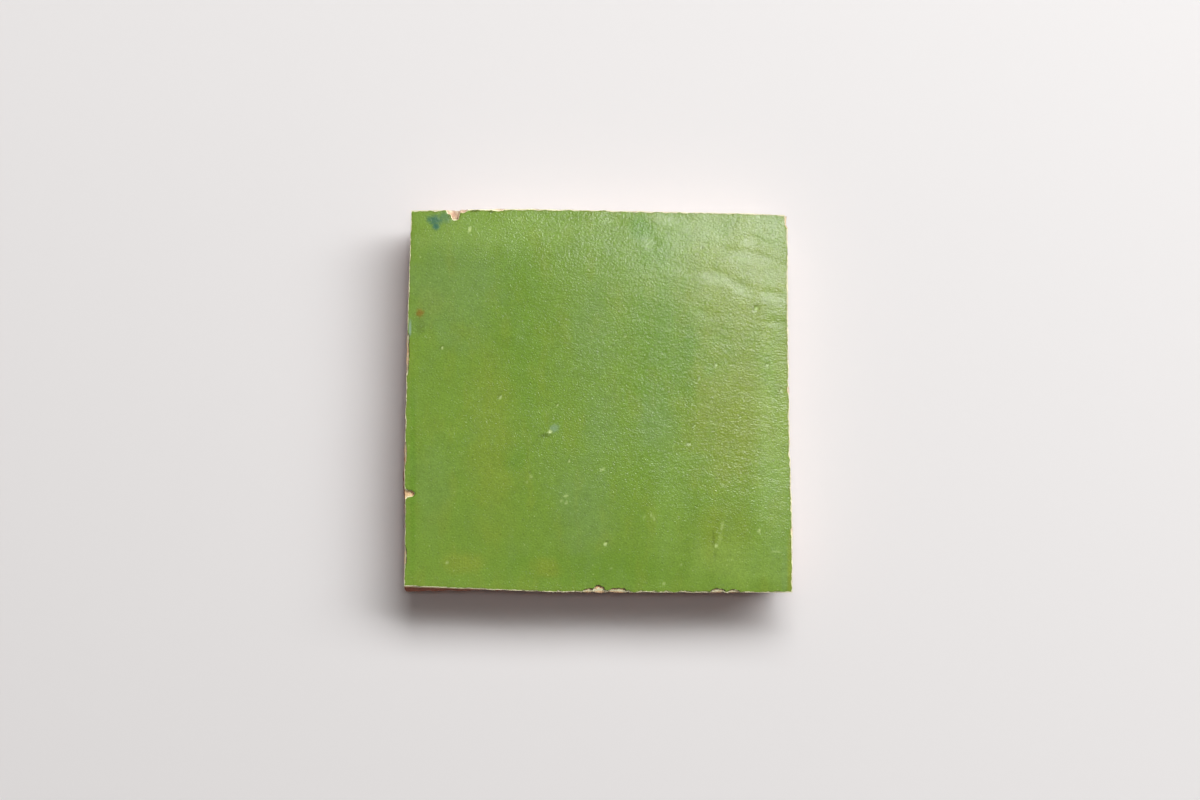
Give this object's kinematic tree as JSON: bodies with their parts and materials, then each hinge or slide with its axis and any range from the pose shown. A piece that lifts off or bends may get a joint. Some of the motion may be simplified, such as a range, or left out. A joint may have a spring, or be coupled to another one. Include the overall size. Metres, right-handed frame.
{
  "type": "zellige tile",
  "caption": "Hand-cut square zellige tile: a glossy green glazed face with slow waves over chiselled, undercut clay sides and a flat back.",
  "frame": {"origin": "on the back, at the bottom centre of the tile's bounding box", "axes": "+Z out of the glazed face; +Y towards the side that the picture shows at its top; +X towards the picture's right"},
  "size_m": [0.102, 0.1006, 0.0113],
  "materials": {
    "glaze": "glossy green glaze with fine grain, pits and chipped arrises, over unglazed pink clay on the sides and back"
  },
  "bodies": {
    "root": {"tile": "glaze"}
  },
  "joints": []
}
